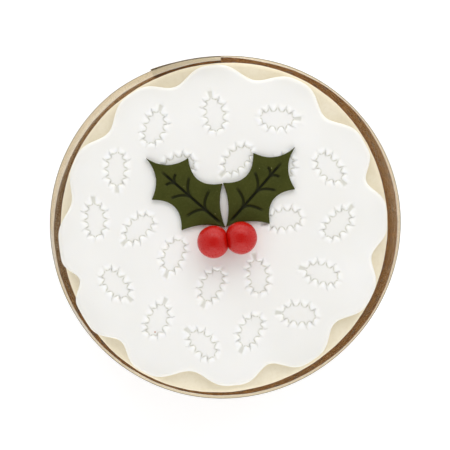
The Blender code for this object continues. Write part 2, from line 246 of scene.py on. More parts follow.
def lobe_margin(degrees):
    """How far the icing stops short of the cake's outline, eased from lobe to lobe."""
    margin = np.zeros_like(degrees)
    lobes = []
    for notch, after in zip(NOTCHES, NOTCHES[1:] + NOTCHES[:1]):
        lobes.append((notch[0] + (after[0] - notch[0]) % 360 / 2, notch[3]))
    for (start, first), (end, second) in zip(lobes, lobes[1:] + lobes[:1]):
        along, span = (degrees - start) % 360, (end - start) % 360
        eased = first + (second - first) * smooth(along, 0, span)
        margin = np.where(along < span, eased, margin)
    return margin


def icing_radius(angle):
    degrees = np.degrees(angle)
    radius = cake_radius(angle) - lobe_margin(degrees)
    for notch, depth, half_width, _ in NOTCHES:
        radius = radius - depth * bowl(degrees, notch, half_width) ** NOTCH_FULLNESS
    return radius


# ---- node helpers ---------------------------------------------------------------------

def linear(channel):
    value = channel / 255
    return value / 12.92 if value <= 0.04045 else ((value + 0.055) / 1.055) ** 2.4


def colour(r, g, b):
    return (linear(r), linear(g), linear(b), 1)


class Nodes:
    """A material's node tree, with short calls for what the materials here use."""

    def __init__(self, name):
        self.material = bpy.data.materials.new(name)
        self.material.use_nodes = True
        self.tree = self.material.node_tree
        self.shader = self.tree.nodes["Principled BSDF"]
        self.place = self.tree.nodes.new("ShaderNodeTexCoord").outputs["Object"]

    def add(self, kind, **values):
        node = self.tree.nodes.new(kind)
        for key, value in values.items():
            setattr(node, key, value)
        return node

    def link(self, source, target):
        self.tree.links.new(source, target)

    def put(self, socket, value):
        if isinstance(value, bpy.types.NodeSocket):
            self.link(value, socket)
        else:
            socket.default_value = value

    def stretch(self, scales):
        node = self.add("ShaderNodeMapping")
        node.inputs["Scale"].default_value = scales
        self.link(self.place, node.inputs["Vector"])
        return node.outputs["Vector"]

    def grain(self, size_mm, detail=3, rough=0.5, vector=None):
        node = self.add("ShaderNodeTexNoise")
        self.link(vector or self.place, node.inputs["Vector"])
        node.inputs["Scale"].default_value = 1 / (size_mm * MM)
        node.inputs["Detail"].default_value = detail
        node.inputs["Roughness"].default_value = rough
        return node.outputs["Fac"]

    def cells(self, size_mm, vector=None):
        node = self.add("ShaderNodeTexVoronoi")
        self.link(vector or self.place, node.inputs["Vector"])
        node.inputs["Scale"].default_value = 1 / (size_mm * MM)
        return node.outputs["Distance"]

    def attribute(self, name):
        return self.add("ShaderNodeAttribute", attribute_name=name).outputs["Fac"]

    def along(self, axis):
        node = self.add("ShaderNodeSeparateXYZ")
        self.link(self.place, node.inputs[0])
        return node.outputs[axis]

    def rise(self, source, start, end, most=1.0, interpolation="LINEAR"):
        """A share that grows from 0 to its most as a length goes from start to end."""
        node = self.add("ShaderNodeMapRange", interpolation_type=interpolation)
        for name, value in (("From Min", start * MM), ("From Max", end * MM), ("To Max", most)):
            node.inputs[name].default_value = value
        self.link(source, node.inputs["Value"])
        return node.outputs["Result"]

    def ramp(self, source, *stops):
        node = self.add("ShaderNodeValToRGB")
        self.link(source, node.inputs["Fac"])
        elements = node.color_ramp.elements
        while len(elements) < len(stops):
            elements.new(0.5)
        for element, (position, value) in zip(elements, stops):
            element.position = position
            element.color = value if isinstance(value, tuple) else (value,) * 3 + (1,)
        return node.outputs["Color"]

    def blend(self, share, first, second):
        node = self.add("ShaderNodeMix", data_type="RGBA")
        self.put(node.inputs["Factor"], share)
        own = [socket for socket in node.inputs if socket.type == "RGBA"]
        self.put(own[0], first)
        self.put(own[1], second)
        return next(socket for socket in node.outputs if socket.type == "RGBA")

    def compute(self, operation, *values):
        node = self.add("ShaderNodeMath", operation=operation)
        for socket, value in zip(node.inputs, values):
            self.put(socket, value)
        return node.outputs[0]

    def bump(self, height, depth_mm, before=None):
        node = self.add("ShaderNodeBump")
        node.inputs["Strength"].default_value = 1
        node.inputs["Distance"].default_value = depth_mm * MM
        self.link(height, node.inputs["Height"])
        if before:
            self.link(before, node.inputs["Normal"])
        return node.outputs["Normal"]

    def wear(self, **sockets):
        for key, value in sockets.items():
            self.put(self.shader.inputs[key.replace("_", " ")], value)


# ---- materials ------------------------------------------------------------------------

CRUMB_MARK = (-33.1, -50.7, ICING_TOP - 0.2)
FLOOR_GLOW = 0.3


def icing_material():
    """White sugar paste: matt, with a faint bloom and fine surface grain."""
    n = Nodes("icing_sugar_paste")
    cloud = n.grain(38, 2)
    base = n.ramp(cloud, (0.35, colour(240, 239, 235)), (0.65, colour(244, 243, 240)))
    base = n.blend(n.ramp(n.cells(9), (0.010, 0.35), (0.022, 0.0)), base,
                   colour(196, 176, 148))
    # Painted highlight: the soft rises round each outline are whitened.
    base = n.blend(n.attribute("crest"), base, colour(254, 254, 252))
    # Painted shade in the pressed lines.
    base = n.blend(n.attribute("crease_shade"), base, colour(186, 185, 163))
    # A crumb has left a mark inside one of the outlines.
    away = n.add("ShaderNodeVectorMath", operation="DISTANCE")
    n.link(n.place, away.inputs[0])
    away.inputs[1].default_value = [c * MM for c in CRUMB_MARK]
    base = n.blend(n.rise(away.outputs["Value"], 0.55, 0.25, 0.8), base, colour(176, 96, 64))
    rough = n.ramp(n.grain(3, 4), (0.3, 0.46), (0.7, 0.58))
    fine = n.bump(n.grain(0.9, 4, 0.6), 0.018)
    broad = n.bump(n.grain(7, 2), 0.05, before=fine)
    n.wear(Base_Color=base, Roughness=rough, Normal=broad, Specular_IOR_Level=0.35,
           Subsurface_Weight=0.5, Subsurface_Radius=(1, 0.95, 0.85),
           Subsurface_Scale=1.6 * MM)
    return n.material


def marzipan_material():
    """Cream almond paste: smooth and matt, a little mottled."""
    n = Nodes("marzipan_paste")
    base = n.ramp(n.grain(16, 3), (0.3, colour(238, 227, 200)), (0.7, colour(246, 237, 215)))
    base = n.blend(n.ramp(n.grain(1.6, 4), (0.45, 0.0), (0.75, 0.3)), base,
                   colour(230, 216, 184))
    # Its cut side is painted paler than its top: painted light on the side.
    side = n.rise(n.along("Z"), MARZIPAN_TOP - 1.2, MARZIPAN_TOP - 2.6)
    base = n.blend(side, base, colour(252, 247, 234))
    rough = n.ramp(n.grain(2.2, 4), (0.3, 0.5), (0.7, 0.68))
    fine = n.bump(n.grain(0.7, 4, 0.6), 0.04)
    broad = n.bump(n.grain(4.5, 3), 0.10, before=fine)
    n.wear(Base_Color=base, Roughness=rough, Normal=broad, Specular_IOR_Level=0.35)
    return n.material


def fruit_cake_material():
    """Rich baked crumb: mid brown, with dark fruit, a few red pieces and pale crumbs."""
    n = Nodes("fruit_cake_crumb")
    crumb = n.ramp(n.grain(2.4, 5, 0.65), (0.30, colour(82, 49, 19)),
                   (0.52, colour(124, 81, 37)), (0.75, colour(156, 111, 58)))
    raisin = n.cells(6.5, vector=n.stretch((1, 1, 1.5)))
    raisins = n.ramp(raisin, (0.24, 1.0), (0.33, 0.0))
    dark = n.ramp(n.grain(1.2, 3), (0.35, colour(40, 20, 9)), (0.7, colour(70, 40, 20)))
    base = n.blend(raisins, crumb, dark)
    cherry = n.cells(17, vector=n.stretch((1, 1.1, 1.3)))
    base = n.blend(n.ramp(cherry, (0.09, 1.0), (0.13, 0.0)), base, colour(112, 26, 18))
    peel = n.cells(13, vector=n.stretch((1.2, 1, 1.6)))
    base = n.blend(n.ramp(peel, (0.06, 1.0), (0.10, 0.0)), base, colour(176, 118, 48))
    # Painted shade: the side towards -X is darker, where less light falls.
    shaded_side = n.rise(n.along("X"), -66, -80, 0.55, "SMOOTHSTEP")
    base = n.blend(shaded_side, base, colour(44, 20, 8))
    rough = n.blend(raisins, n.ramp(n.grain(1.5, 3), (0.3, 0.82), (0.7, 0.95)),
                    (0.42, 0.42, 0.42, 1))
    fine = n.bump(n.grain(0.8, 5, 0.7), 0.28)
    holes = n.bump(n.ramp(n.cells(2.2), (0.05, 0.0), (0.45, 1.0)), 0.35, before=fine)
    n.wear(Base_Color=base, Roughness=rough, Normal=holes)
    return n.material


def leaf_material(seed):
    """Dark olive sugar paste, matt, with a faint dry bloom."""
    n = Nodes("holly_paste_" + seed)
    base = n.ramp(n.grain(7, 3), (0.3, colour(54, 58, 9)), (0.7, colour(62, 65, 15)))
    base = n.blend(n.ramp(n.grain(0.9, 5, 0.7), (0.5, 0.0), (0.8, 0.45)), base,
                   colour(84, 87, 42))
    dust = n.ramp(n.cells(5.5), (0.035, 0.6), (0.06, 0.0))
    base = n.blend(dust, base, colour(150, 150, 104))
    # Painted shade down in the veins.
    base = n.blend(n.attribute("vein"), base, colour(20, 22, 3))
    rough = n.ramp(n.grain(1.2, 4), (0.3, 0.5), (0.7, 0.68))
    fine = n.bump(n.grain(0.6, 4, 0.6), 0.05)
    broad = n.bump(n.grain(3.5, 2), 0.08, before=fine)
    n.wear(Base_Color=base, Roughness=rough, Normal=broad, Specular_IOR_Level=0.16)
    return n.material


def berry_material():
    """Red sugar paste rolled into balls: satin, with a faint bloom."""
    n = Nodes("berry_paste")
    base = n.ramp(n.grain(5, 3), (0.3, colour(176, 6, 0)), (0.7, colour(184, 10, 0)))
    base = n.blend(n.ramp(n.grain(0.7, 4, 0.7), (0.55, 0.0), (0.85, 0.12)), base,
                   colour(192, 42, 22))
    rough = n.ramp(n.grain(1.1, 4), (0.3, 0.25), (0.7, 0.33))
    fine = n.bump(n.grain(0.55, 4, 0.6), 0.035)
    broad = n.bump(n.grain(2.8, 2), 0.06, before=fine)
    n.wear(Base_Color=base, Roughness=rough, Normal=broad, Specular_IOR_Level=0.34)
    return n.material


def film_material():
    """Clear film: it mirrors more the flatter it is seen and lets the rest through."""
    n = Nodes("clear_film")
    facing = n.add("ShaderNodeLayerWeight")
    facing.inputs["Blend"].default_value = 0.5
    grazing = n.compute("POWER", facing.outputs["Facing"], 2.3)
    share = n.compute("MULTIPLY_ADD", grazing, 0.95, 0.025)
    # Seen flat, the light passes a long way through the film, which then looks tinted; the
    # tint's deep brown is painted shade that darkens what shows through it.
    clear = n.add("ShaderNodeBsdfTransparent")
    n.link(n.ramp(facing.outputs["Facing"], (0.62, (0.97, 0.965, 0.95, 1)),
                  (0.86, (0.52, 0.37, 0.17, 1))), clear.inputs["Color"])
    gloss = n.add("ShaderNodeBsdfGlossy")
    gloss.inputs["Color"].default_value = (0.98, 0.96, 0.93, 1)
    gloss.inputs["Roughness"].default_value = 0.04
    ripple = n.bump(n.grain(26, 2, vector=n.stretch((1, 1, 0.15))), 0.25)
    n.link(ripple, gloss.inputs["Normal"])
    mixed = n.add("ShaderNodeMixShader")
    n.link(share, mixed.inputs["Fac"])
    n.link(clear.outputs[0], mixed.inputs[1])
    n.link(gloss.outputs[0], mixed.inputs[2])
    n.link(mixed.outputs[0], n.tree.nodes["Material Output"].inputs["Surface"])
    n.tree.nodes.remove(n.shader)
    return n.material


def film_edge_material():
    """The film's cut edge, painted a dark grey-brown: painted shade where the clear edge looks
    dark.
    """
    n = Nodes("film_edge")
    base = n.ramp(n.grain(12, 2), (0.35, colour(98, 90, 72)), (0.65, colour(134, 124, 102)))
    n.wear(Base_Color=base, Roughness=0.35)
    return n.material


def floor_material():
    """A pale, softly lit table top."""
    n = Nodes("studio_floor")
    base = n.ramp(n.grain(900, 1), (0.3, colour(247, 247, 247)), (0.7, colour(248, 248, 248)))
    n.wear(Base_Color=base, Roughness=0.9, Specular_IOR_Level=0.1,
           Emission_Color=(1, 1, 1, 1), Emission_Strength=FLOOR_GLOW)
    return n.material


# ---- icing ----------------------------------------------------------------------------

ICING_STEPS = 720
ICING_RIM_RADIUS = 2.4
ICING_FOOT_RADIUS = 0.9
ICING_BAND = 4.0
ICING_GRID = 1.6
ARC_STATIONS = (0, 0.03, 0.08, 0.15, 0.24, 0.36, 0.5, 0.64, 0.76, 0.85, 0.92, 0.97)
PATCH = (12.0, 8.7)
CORE_SHARE = 0.5
RINGS_OUT = (1.0, 0.78, 0.6, 0.45, 0.33, 0.24, 0.165, 0.105, 0.06, 0.025)
RINGS_IN = (0.03, 0.07, 0.13, 0.21, 0.32, 0.46, 0.66, 1.0)
HUB_SHARES = (0.6, 0.28)
GROOVE_DEPTH = 0.22
GROOVE_WIDTHS = (0.45, 0.32)
STEM_DEPTH = 0.36
INSIDE_DROP = 0.10
PUFF_HEIGHT = 0.28
PUFF_RISE = 1.3
PUFF_FADE = (1.3, 3.2)
# Painted shade in the pressed lines, and painted highlight on the rises round them:
CREASE_SHADE_WIDTH = 0.27
STEM_CREASE_SHADE = 0.34
CREST_HIGHLIGHT_SHARE = 0.6
# Shares along an outline, from 0 in an arc's middle to 1 at a spine's tip.
ARC_SHARE = 0.35
RIM_FLAT = 3.2
RIM_STEPS = 8
FOOT_STEPS = 4
SETTLE = 0.22
SETTLE_REACH = (13, 2)


def bent_oval(turn, along, across):
    """A point on the holly shape's bent oval, at an angle and with those half sizes."""
    x = STAMP_MIDDLE + along * math.cos(turn)
    side = math.copysign(abs(math.sin(turn)) ** STAMP_FULLNESS, math.sin(turn))
    return x, across * side + STAMP_BEND * (1 - ((x - STAMP_MIDDLE) / STAMP_BEND_REACH) ** 2)


def stamp_rings():
    """The pressed outline without its stem, the rings round it and within it, and how
    far out each point of the outline stands between the valleys and the spines."""
    outline, patch, core, shares = [], [], [], []
    for point in range(STAMP_POINTS):
        for part in ARC_STATIONS:
            turn = 2 * math.pi * (point + part) / STAMP_POINTS
            share = abs(2 * part - 1) ** STAMP_HOLLOW
            half = [v + (s - v) * share for s, v in zip(STAMP_SPINES, STAMP_VALLEYS)]
            spot = bent_oval(turn, *half)
            if point == 0 and part == 0:
                spot = (STAMP_TIP, bent_oval(0, STAMP_TIP - STAMP_MIDDLE, 0)[1])
            outline.append(spot)
            patch.append(bent_oval(turn, *PATCH))
            core.append(bent_oval(turn, *(v * CORE_SHARE for v in STAMP_VALLEYS)))
            shares.append(share)
    outline, patch, core = (np.array(ring) for ring in (outline, patch, core))
    hub = np.array((STAMP_MIDDLE, STAMP_BEND))
    rings = [outline + (patch - outline) * s for s in RINGS_OUT]
    rings.append(outline)
    rings += [outline + (core - outline) * s for s in RINGS_IN]
    rings += [hub + (core - hub) * s for s in HUB_SHARES]
    return outline, np.array(shares), rings, hub


def stem_distance(points):
    """How far points lie outside the flared stem, or 0 within it."""
    (root, root_side, root_width), (end, end_side, end_width) = STAMP_STEM
    t = np.clip((root - points[:, 0]) / (root - end), 0, 1)
    half = (root_width + (end_width - root_width) * t) / 2
    beside = np.abs(points[:, 1] - (root_side + (end_side - root_side) * t)) - half
    beyond = np.maximum(end - points[:, 0], points[:, 0] - root)
    return np.hypot(np.maximum(beside, 0), np.maximum(beyond, 0))


def relief(points, outline, shares):
    """Height of the pressed icing at points near one outline, how much painted shade darkens
    each point along the line, and how much painted highlight whitens the soft rise round it."""
    after = np.roll(outline, -1, axis=0)
    away, which = segment_distance(points, outline, after)
    segment_share = (shares + np.roll(shares, -1)) / 2
    arcs = segment_share < ARC_SHARE
    from_arcs, _ = segment_distance(points, outline[arcs], after[arcs])
    # The line is deepest where two arcs meet and fades out along each spine.
    deep = (1.0 + 0.25 * smooth(segment_share, 0.05, 0.3)
            - 1.15 * smooth(segment_share, 0.3, 0.85))
    groove = GROOVE_DEPTH * deep[which]
    groove_in, groove_out = GROOVE_WIDTHS
    height_in = -INSIDE_DROP - (np.maximum(groove - INSIDE_DROP, 0)
                                * np.exp(-(away / groove_in) ** 1.3))
    stem = stem_distance(points)
    puff = (PUFF_HEIGHT * smooth(np.minimum(away, stem), 0.05, PUFF_RISE)
            * (1 - smooth(np.minimum(from_arcs, stem + 0.6), *PUFF_FADE)))
    height_out = puff - groove * np.exp(-(away / groove_out) ** 2)
    height = np.where(within(points, outline), height_in, height_out)
    sunk = np.exp(-(stem / 0.25) ** 2) * smooth(-points[:, 0], 6.6, 8.4)
    height = height * (1 - sunk) - STEM_DEPTH * sunk
    # The painted shade in the line is faint along the arcs and darkest at the root of each
    # spine.
    dark = ((0.36 + 0.34 * smooth(segment_share, 0.03, 0.25))
            * (1 - smooth(segment_share, ARC_SHARE, 0.75)))
    crease_shade = np.maximum(dark[which] * np.exp(-(away / CREASE_SHADE_WIDTH) ** 2), STEM_CREASE_SHADE * sunk)
    return height, crease_shade, CREST_HIGHLIGHT_SHARE * puff / PUFF_HEIGHT * ~within(points, outline)


def make_icing():
    outline, shares, local_rings, hub_spot = stamp_rings()
    count = len(outline)
    heights, crease_shades, crest_highlights = zip(*(relief(ring, outline, shares) for ring in local_rings))

    angles = np.arange(ICING_STEPS) * 2 * math.pi / ICING_STEPS
    edge = icing_radius(angles)
    directions = np.stack([np.cos(angles), np.sin(angles)], axis=1)
    inner = directions * (edge - ICING_BAND)[:, None]

    # The flat between the outlines: a loose grid, tied to the rings and the rim.
    points = [tuple(p) for p in inner]
    lines = [(i, (i + 1) % ICING_STEPS) for i in range(ICING_STEPS)]
    placed = []
    for x, y, direction in STAMPS:
        turn = math.radians(direction)
        spin = np.array(((math.cos(turn), math.sin(turn)), (-math.sin(turn), math.cos(turn))))
        rings = [ring @ spin + (x, y) for ring in local_rings]
        placed.append((rings, spin, np.array((x, y)), hub_spot @ spin + (x, y)))
        start = len(points)
        points += [tuple(p) for p in rings[0]]
        lines += [(start + i, start + (i + 1) % count) for i in range(count)]

    def in_stamp(spots, room):
        """Which spots lie on a pressed patch, or within some room of one."""
        hit = np.zeros(len(spots), dtype=bool)
        middle = np.array((STAMP_MIDDLE, STAMP_BEND / 2))
        grown = middle + (local_rings[0] - middle) * (1 + room / PATCH[1])
        for _, spin, centre, _ in placed:
            hit |= within((spots - centre) @ spin.T, grown)
        return hit

    steps = np.arange(-80, 80, ICING_GRID)
    grid = np.array([(x + (ICING_GRID / 2 if row % 2 else 0), y)
                     for row, y in enumerate(steps * 0.87) for x in steps])
    grid_angles = np.arctan2(grid[:, 1], grid[:, 0])
    room = icing_radius(grid_angles % (2 * math.pi)) - ICING_BAND - 0.8
    grid = grid[(np.linalg.norm(grid, axis=1) < room) & ~in_stamp(grid, 0.8)]
    points += [tuple(p) for p in grid]

    flat, _, triangles, sources, _, _ = geometry.delaunay_2d_cdt(
        [Vector(p) for p in points], lines, [], 1, 1e-6, True)
    flat = np.array([tuple(v) for v in flat])
    triangles = np.array(triangles)
    centroids = flat[triangles].mean(axis=1)
    triangles = triangles[within(centroids, inner) & ~in_stamp(centroids, 0)]
    where = {}
    for index, origins in enumerate(sources):
        for origin in origins:
            where[origin] = index

    verts = [(x, y, 0.0) for x, y in flat]
    # For each point: painted shade in the pressed lines and painted highlight on the rises
    # round them.
    crease_shade, crest = [0.0] * len(verts), [0.0] * len(verts)
    faces = [tuple(t) for t in triangles]
    cursor = ICING_STEPS
    for rings, _, _, hub_place in placed:
        before = [where[cursor + i] for i in range(count)]
        for ring_index in range(len(rings)):
            ring = rings[ring_index]
            if ring_index:
                start = len(verts)
                verts += [(x, y, h) for (x, y), h in zip(ring, heights[ring_index])]
                crease_shade += crease_shades[ring_index].tolist()
                crest += crest_highlights[ring_index].tolist()
                now = list(range(start, start + count))
                for i in range(count):
                    j = (i + 1) % count
                    faces.append((before[i], before[j], now[j], now[i]))
                before = now
            else:
                for i in range(count):
                    x, y, _ = verts[before[i]]
                    verts[before[i]] = (x, y, heights[0][i])
        hub = len(verts)
        verts.append((*hub_place, -INSIDE_DROP))
        crease_shade.append(0.0)
        crest.append(0.0)
        faces += [(before[i], before[(i + 1) % count], hub) for i in range(count)]
        cursor += count

    # The rim and the side, from the flat down to the underside.
    profile = [(RIM_FLAT, 0.0)]
    for i in range(RIM_STEPS + 1):
        turn = math.pi / 2 * i / RIM_STEPS
        profile.append((ICING_RIM_RADIUS * (1 - math.sin(turn)),
                        ICING_RIM_RADIUS * (math.cos(turn) - 1)))
    depth = ICING_BASE - ICING_TOP
    profile.append((0.0, (depth + ICING_FOOT_RADIUS - ICING_RIM_RADIUS) / 2))
    for i in range(FOOT_STEPS + 1):
        turn = math.pi / 2 * i / FOOT_STEPS
        profile.append((ICING_FOOT_RADIUS * (1 - math.cos(turn)),
                        depth + ICING_FOOT_RADIUS * (1 - math.sin(turn))))
    before = [where[i] for i in range(ICING_STEPS)]
    for inset, drop in profile:
        start = len(verts)
        ring = directions * (edge - inset)[:, None]
        verts += [(x, y, drop) for x, y in ring]
        crease_shade += [0.0] * ICING_STEPS
        crest += [0.0] * ICING_STEPS
        now = list(range(start, start + ICING_STEPS))
        for i in range(ICING_STEPS):
            j = (i + 1) % ICING_STEPS
            faces.append((before[j], before[i], now[i], now[j]))
        before = now
    faces.append(tuple(before))

    verts = np.array(verts)
    # The sheet sags a touch towards its edge and is never quite level.
    radius = np.linalg.norm(verts[:, :2], axis=1)
    reach = icing_radius(np.arctan2(verts[:, 1], verts[:, 0]) % (2 * math.pi))
    top = smooth(verts[:, 2], ICING_FOOT_RADIUS + depth, -1.2)
    settle = -SETTLE * smooth(reach - radius, *SETTLE_REACH) * top
    level = 0.05 * noise_at(verts * (1, 1, 0), 24, 1) * top
    verts[:, 2] += settle + level + ICING_TOP
    sheet = make_piece("icing_sheet", verts, faces, icing_material(), "icing_top")
    add_attribute(sheet, "crease_shade", crease_shade)
    # The crest attribute is painted highlight on the soft rises round the outlines.
    add_attribute(sheet, "crest", crest)


# ---- marzipan and fruit cake ----------------------------------------------------------

ROUND_STEPS = 480
MARZIPAN_EDGE_RADIUS = 2.6
MARZIPAN_EDGE_STEPS = 12


def make_marzipan():
    angles = np.arange(ROUND_STEPS) * 2 * math.pi / ROUND_STEPS
    directions = np.stack([np.cos(angles), np.sin(angles)], axis=1)
    edge = cake_radius(angles)
    profile = [(0.5, MARZIPAN_BASE), (0.12, MARZIPAN_BASE + 0.25), (0.0, MARZIPAN_BASE + 0.7)]
    profile.append((0.0, MARZIPAN_BASE + 1.1))
    for i in range(MARZIPAN_EDGE_STEPS + 1):
        turn = math.pi / 2 * i / MARZIPAN_EDGE_STEPS
        profile.append((MARZIPAN_EDGE_RADIUS * (1 - math.cos(turn)),
                        MARZIPAN_TOP - MARZIPAN_EDGE_RADIUS * (1 - math.sin(turn))))
    profile += [(inset, MARZIPAN_TOP) for inset in (4.5, 6.5, 9.0, 12.0)]
    rings = []
    for inset, z in profile:
        ring = directions * (edge - inset)[:, None]
        rings.append(np.column_stack([ring, np.full(len(ring), z)]))
    verts, faces = skin_rings(rings)
    # The cut side is a little uneven.
    side = smooth(MARZIPAN_TOP - verts[:, 2], 0.3, 2.5)
    push = 0.16 * noise_at(verts * (1, 1, 1.6), 9, 2) + 0.07 * noise_at(verts, 2.6, 3) - 0.16
    verts[:, :2] *= (1 + (push * side / CAKE_RADIUS))[:, None]
    make_piece("marzipan_sheet", verts, faces, marzipan_material(),
               "marzipan_layer")


FRUIT_STEPS = 600
FRUIT_ROWS = 64
FRUIT_INSET = 0.4
FRUIT_FOOT_RADIUS = 3.0
FRUIT_FOOT_STEPS = 6
CRAG_DEPTH = 2.2
CRAG_SIZES = (15.0, 6.5)
CRUMB_SIZES = (2.1, 1.1)
RAISIN_SPACING = 6.5
RAISIN_REACH = 0.42


def make_fruit_cake():
    angles = np.arange(FRUIT_STEPS) * 2 * math.pi / FRUIT_STEPS
    directions = np.stack([np.cos(angles), np.sin(angles)], axis=1)
    edge = cake_radius(angles) - FRUIT_INSET
    profile = [(14.0, 0.0)]
    for i in range(FRUIT_FOOT_STEPS):
        turn = math.pi / 2 * i / FRUIT_FOOT_STEPS
        profile.append((FRUIT_FOOT_RADIUS * (1 - math.sin(turn)),
                        FRUIT_FOOT_RADIUS * (1 - math.cos(turn))))
    for row in range(FRUIT_ROWS + 1):
        profile.append((0.0, FRUIT_FOOT_RADIUS
                        + (FRUIT_TOP - FRUIT_FOOT_RADIUS) * row / FRUIT_ROWS))
    profile.append((1.2, FRUIT_TOP))
    rings = []
    for inset, z in profile:
        ring = directions * (edge - inset)[:, None]
        rings.append(np.column_stack([ring, np.full(len(ring), z)]))
    verts, faces = skin_rings(rings)
    depth = np.zeros(len(verts))
    for index, (x, y, z) in enumerate(verts):
        place = Vector((x, y, z))
        coarse, fine = (abs(noise.noise(place / size)) for size in CRAG_SIZES)
        large, small = (noise.noise(place / size) for size in CRUMB_SIZES)
        crumb = large * 0.5 + small * 0.25
        distance = noise.voronoi(place / RAISIN_SPACING)[0][0]
        fruit = max(0.0, 1 - distance / RAISIN_REACH) ** 0.6
        depth[index] = CRAG_DEPTH * (0.6 * coarse + 0.4 * fine) + 0.5 * crumb - 0.55 * fruit
    # The relief fades out at the foot and is shallow under the marzipan.
    side = smooth(verts[:, 2], 0.0, 4.0)
    side *= 1 - 0.6 * smooth(verts[:, 2], FRUIT_TOP - 1, FRUIT_TOP)
    side[-FRUIT_STEPS:] = 0
    depth = np.maximum(depth, -0.1)
    verts[:, :2] *= (1 - depth * side / CAKE_RADIUS)[:, None]
    make_piece("fruit_cake_body", verts, faces, fruit_cake_material(),
               "fruit_cake")


# ---- leaves ---------------------------------------------------------------------------

LEAF_ARC_STEPS = 26
LEAF_BLUNT = 0.012
LEAF_GRID = 0.55
LEAF_EDGE_RADIUS = 0.75
LEAF_EDGE_STEPS = 6
VEIN_OFFSETS = (0.0, 0.25, 0.45, 0.58, 0.72, 0.95)
MIDRIB_DEPTH = 0.95
SIDE_VEIN_DEPTH = 0.8
VEIN_HALF_WIDTH = 0.66
# How strongly painted shade darkens the veins.
VEIN_SHADE_STRENGTH = 1.0


def leaf_outline():
    """Fine edge of a leaf, anticlockwise from its base, with the room to round it."""
    spines = [np.array(spine) for spine in LEAF_SPINES]
    left = [np.array((LEAF_LENGTH, 0.0)), *reversed(spines), np.zeros(2)]
    right = [p * (1, -1) for p in reversed(left)]
    arcs = list(zip(right, right[1:], LEAF_ARC_DEPTHS))
    arcs += zip(left, left[1:], reversed(LEAF_ARC_DEPTHS))
    outline, room = [], []
    for start, end, depth in arcs:
        chord = end - start
        inward = np.array((-chord[1], chord[0])) / np.linalg.norm(chord)
        for i in range(LEAF_ARC_STEPS):
            t = 0.5 - 0.5 * math.cos(math.pi * i / (LEAF_ARC_STEPS - 1))
            t = LEAF_BLUNT + (1 - 2 * LEAF_BLUNT) * t
            bow = 4 * t * (1 - t)
            outline.append(start + chord * t + inward * depth * bow)
            room.append(min(1.0, 2.2 * bow))
    return np.array(outline), np.array(room)


def draw_in(outline, room, distance):
    along = np.roll(outline, -1, axis=0) - np.roll(outline, 1, axis=0)
    inward = np.stack([-along[:, 1], along[:, 0]], axis=1)
    inward /= np.linalg.norm(inward, axis=1)[:, None]
    return outline + inward * (distance * room)[:, None]


def vein_paths():
    """Fine centre lines of the veins, each with its depth."""
    start, end = MIDRIB
    paths = [(MIDRIB_DEPTH, np.array([(start + (end - start) * i / 60, 0.0)
                                      for i in range(61)]))]
    for side in (-1, 1):
        for steering in SIDE_VEINS:
            a, b, c = (np.array((x, side * y)) for x, y in steering)
            path = [(1 - t) ** 2 * a + 2 * t * (1 - t) * b + t ** 2 * c
                    for t in (i / 20 for i in range(21))]
            paths.append((SIDE_VEIN_DEPTH, np.array(path)))
    return paths


def leaf_height(points, outline, paths):
    """Height of a leaf's upper face, with soft panels between its veins, and how far
    each point lies down in a vein."""
    edge, _ = segment_distance(points, outline, np.roll(outline, -1, axis=0))
    height = np.zeros(len(points))
    nearest = np.full(len(points), np.inf)
    groove = np.zeros(len(points))
    for depth, path in paths:
        away, which = segment_distance(points, path[:-1], path[1:])
        share = which / (len(path) - 2)
        taper = smooth(share, 1.02, 0.86) * (1 if depth < MIDRIB_DEPTH
                                             else smooth(share, -0.02, 0.10))
        shape = np.exp(-(away / VEIN_HALF_WIDTH) ** 5)
        groove = np.maximum(groove, depth * taper * shape)
        nearest = np.minimum(nearest, away)
    height -= groove
    height += 0.30 * (smooth(nearest, 0.5, 3.2) - 1) + 0.18 * (smooth(edge, 0.0, 3.0) - 1)
    return height, groove / MIDRIB_DEPTH


